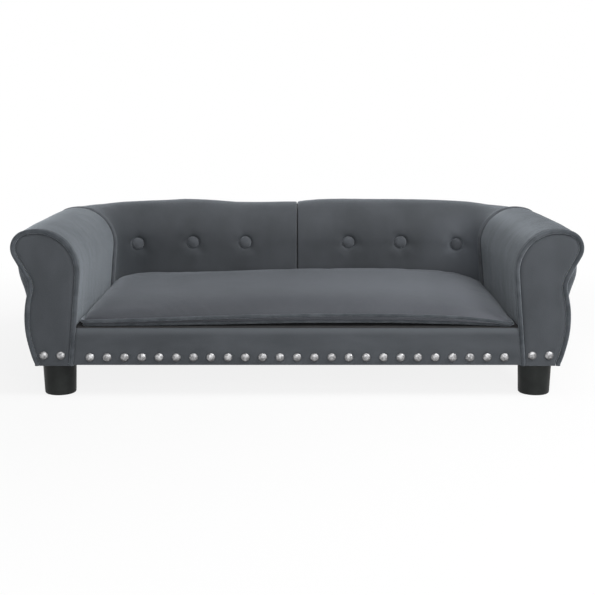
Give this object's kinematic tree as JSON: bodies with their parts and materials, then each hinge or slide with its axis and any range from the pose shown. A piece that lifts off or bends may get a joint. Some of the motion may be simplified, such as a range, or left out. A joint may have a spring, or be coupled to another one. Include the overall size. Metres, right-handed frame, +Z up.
{
  "type": "dog bed",
  "caption": "Low upholstered dog bed built like a small sofa, with scroll arms, a buttoned back, a nailed front rail, round feet and a loose cushion.",
  "frame": {"origin": "on the floor under the middle of the bed's overall box", "axes": "+X to the right of someone facing the bed's front, +Y towards its back, +Z up"},
  "size_m": [0.95, 0.55, 0.285],
  "materials": {
    "velvet": "dark blue-grey short velvet",
    "velvet_piping": "dark blue-grey velvet over a piping cord",
    "velvet_button": "velvet drawn over a button form",
    "twine": "waxed twine",
    "foam": "polyurethane foam",
    "plywood": "raw plywood",
    "batten_wood": "raw pine",
    "hardboard": "brown hardboard",
    "lining_cloth": "black lining cloth",
    "dust_cloth": "black non-woven cloth",
    "nail_metal": "hammered bright metal",
    "foot_plastic": "black moulded plastic",
    "screw_steel": "zinc-plated steel",
    "zip_tape": "woven zip tape and coil",
    "zip_metal": "dark plated metal"
  },
  "bodies": {
    "bed": {"arm_base_rails": "batten_wood", "arm_cover_left": "velvet", "arm_cover_right": "velvet", "arm_facing_left": "velvet", "arm_facing_right": "velvet", "arm_foam_left": "foam", "arm_foam_right": "foam", "arm_front_board_left": "plywood", "arm_front_board_right": "plywood", "arm_front_welt_left": "velvet_piping", "arm_front_welt_right": "velvet_piping", "arm_nails": "nail_metal", "arm_panel_left": "hardboard", "arm_panel_right": "hardboard", "arm_rear_board_left": "plywood", "arm_rear_board_right": "plywood", "arm_rear_welt_left": "velvet_piping", "arm_rear_welt_right": "velvet_piping", "arm_top_rail_left": "batten_wood", "arm_top_rail_right": "batten_wood", "back_base_rails": "batten_wood", "back_buttons_left": "velvet_button", "back_buttons_right": "velvet_button", "back_cover_left": "velvet", "back_cover_right": "velvet", "back_foam_left": "foam", "back_foam_right": "foam", "back_panels": "hardboard", "back_posts": "plywood", "back_top_rails": "batten_wood", "button_ties": "twine", "corner_panel_left": "hardboard", "corner_panel_right": "hardboard", "corner_plate_left": "plywood", "corner_plate_right": "plywood", "corner_rail_left": "plywood", "corner_rail_right": "plywood", "deck_lining": "lining_cloth", "dust_cover": "dust_cloth", "foot_blocks": "batten_wood", "foot_front_left": "foot_plastic", "foot_front_right": "foot_plastic", "foot_rear_left": "foot_plastic", "foot_rear_right": "foot_plastic", "foot_screws": "screw_steel", "front_rail_board": "plywood", "front_rail_cover": "velvet", "front_rail_nails": "nail_metal", "front_rail_pad": "foam", "rear_rail": "plywood", "seat_deck": "plywood", "side_rail_left": "plywood", "side_rail_right": "plywood"},
    "cushion": {"cushion_cover": "velvet", "cushion_foam": "foam", "cushion_upper_welt": "velvet_piping", "cushion_lower_welt": "velvet_piping", "cushion_zip": "zip_tape"},
    "zip_slider": {"zip_slider": "zip_metal"}
  },
  "joints": [
    {"name": "cushion_draw_out", "type": "slide", "parent": "bed", "child": "cushion", "axis": [0, -1, 0], "range_m": [0, 0.46]},
    {"name": "zip_travel", "type": "slide", "parent": "cushion", "child": "zip_slider", "axis": [1, 0, 0], "range_m": [0, 0.543]}
  ]
}
